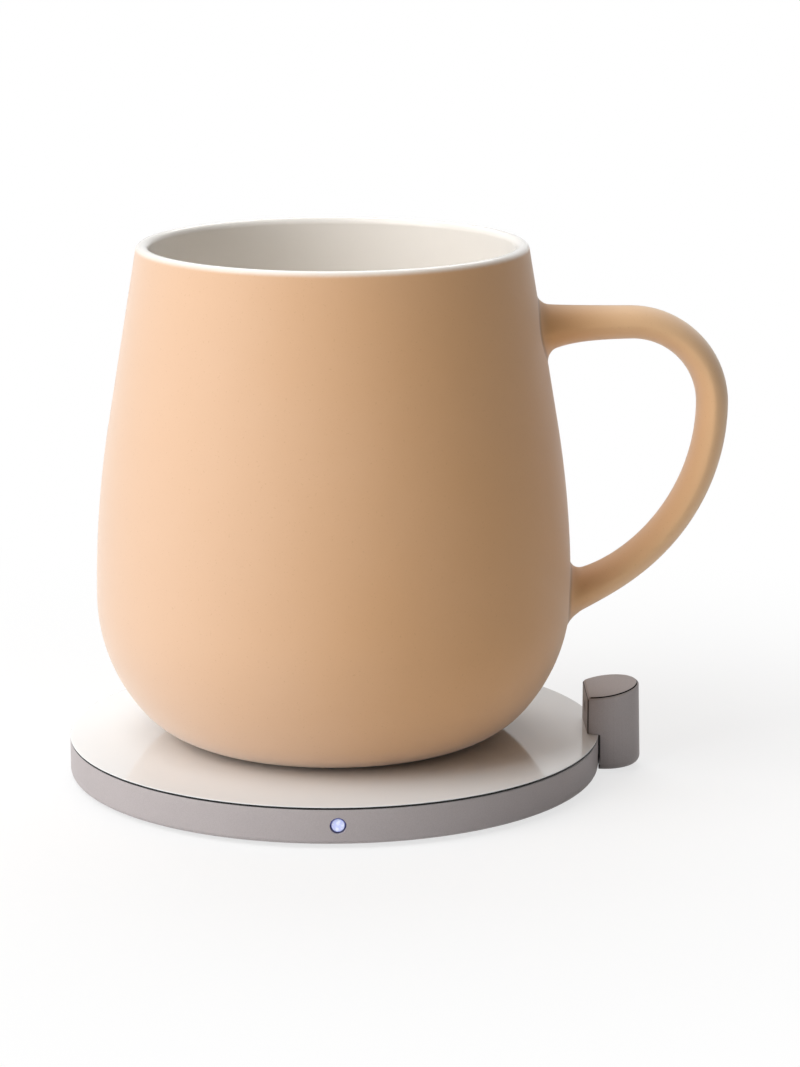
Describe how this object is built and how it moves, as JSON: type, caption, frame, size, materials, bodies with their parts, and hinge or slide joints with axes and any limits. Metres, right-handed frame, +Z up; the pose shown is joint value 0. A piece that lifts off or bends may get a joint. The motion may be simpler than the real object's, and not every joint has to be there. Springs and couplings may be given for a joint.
{
  "type": "self-heating mug with warming pad",
  "caption": "Round-bellied ceramic mug with a loop handle, heated through its base by a flat round warming pad with a lit push button and a sensor post.",
  "frame": {"origin": "on the table under the middle of the pad, on the face of its silicone foot", "axes": "+Z up, +X towards the mug's handle, -Y towards the button, +Y towards the power socket"},
  "size_m": [0.1255, 0.1016, 0.1028],
  "materials": {
    "pad_metal": "bead-blasted, warm grey",
    "plate_white": "gloss",
    "seam_black": "matt",
    "silicone_grey": "matt",
    "cover_dark": "fine grain",
    "button_light": "milky, lit from behind",
    "window_dark": "gloss",
    "ceramic_peach": "matt glaze outside, white gloss glaze inside",
    "board_green": "solder mask",
    "chip_black": "matt",
    "capacitor_tan": "matt",
    "ferrite_grey": "matt",
    "copper": "enamelled wire",
    "steel": "plain",
    "spreader_metal": "plain",
    "film_amber": "satin",
    "insulation_white": "felt",
    "sensor_cream": "matt",
    "base_white": "matt"
  },
  "bodies": {
    "pad": {"pad_housing": "pad_metal", "bottom_cover": "cover_dark", "foot_pad": "silicone_grey", "seam_gasket": "seam_black", "top_plate": "plate_white", "coil_carrier": "cover_dark", "pad_ferrite": "ferrite_grey", "pad_coil": "copper", "control_board": "board_green", "driver_chip": "chip_black", "resonant_capacitors": "capacitor_tan", "power_inductor": "ferrite_grey", "plate_thermistor": "sensor_cream", "usb_socket": "steel", "usb_tongue": "chip_black", "switch_body": "chip_black", "status_led": "button_light", "ribbon_connector": "sensor_cream", "cover_screws": "steel", "board_screws": "steel", "post_shell": "pad_metal", "post_base": "cover_dark", "sensor_board": "board_green", "presence_sensor": "steel", "sensor_window": "window_dark", "sensor_ribbon": "film_amber", "post_screws": "steel"},
    "button": {"button_cap": "button_light", "switch_plunger": "sensor_cream"},
    "mug": {"mug_shell": "ceramic_peach", "handle": "ceramic_peach", "heat_spreader": "spreader_metal", "heater_film": "film_amber", "insulation_pad": "insulation_white", "receiver_board": "board_green", "receiver_chips": "chip_black", "thermal_fuse": "steel", "mug_thermistor": "sensor_cream", "receiver_ferrite": "ferrite_grey", "receiver_coil": "copper", "mug_base": "base_white", "base_seal": "seam_black", "mug_foot": "silicone_grey"}
  },
  "joints": [
    {"name": "mug_lift", "type": "slide", "parent": "pad", "child": "mug", "axis": [0, 0, 1], "range_m": [0, 0.08]},
    {"name": "button_press", "type": "slide", "parent": "pad", "child": "button", "axis": [0, 1, 0], "range_m": [0, 0.0004], "stiffness_N_per_m": 1500, "springref_m": -0.0004}
  ]
}
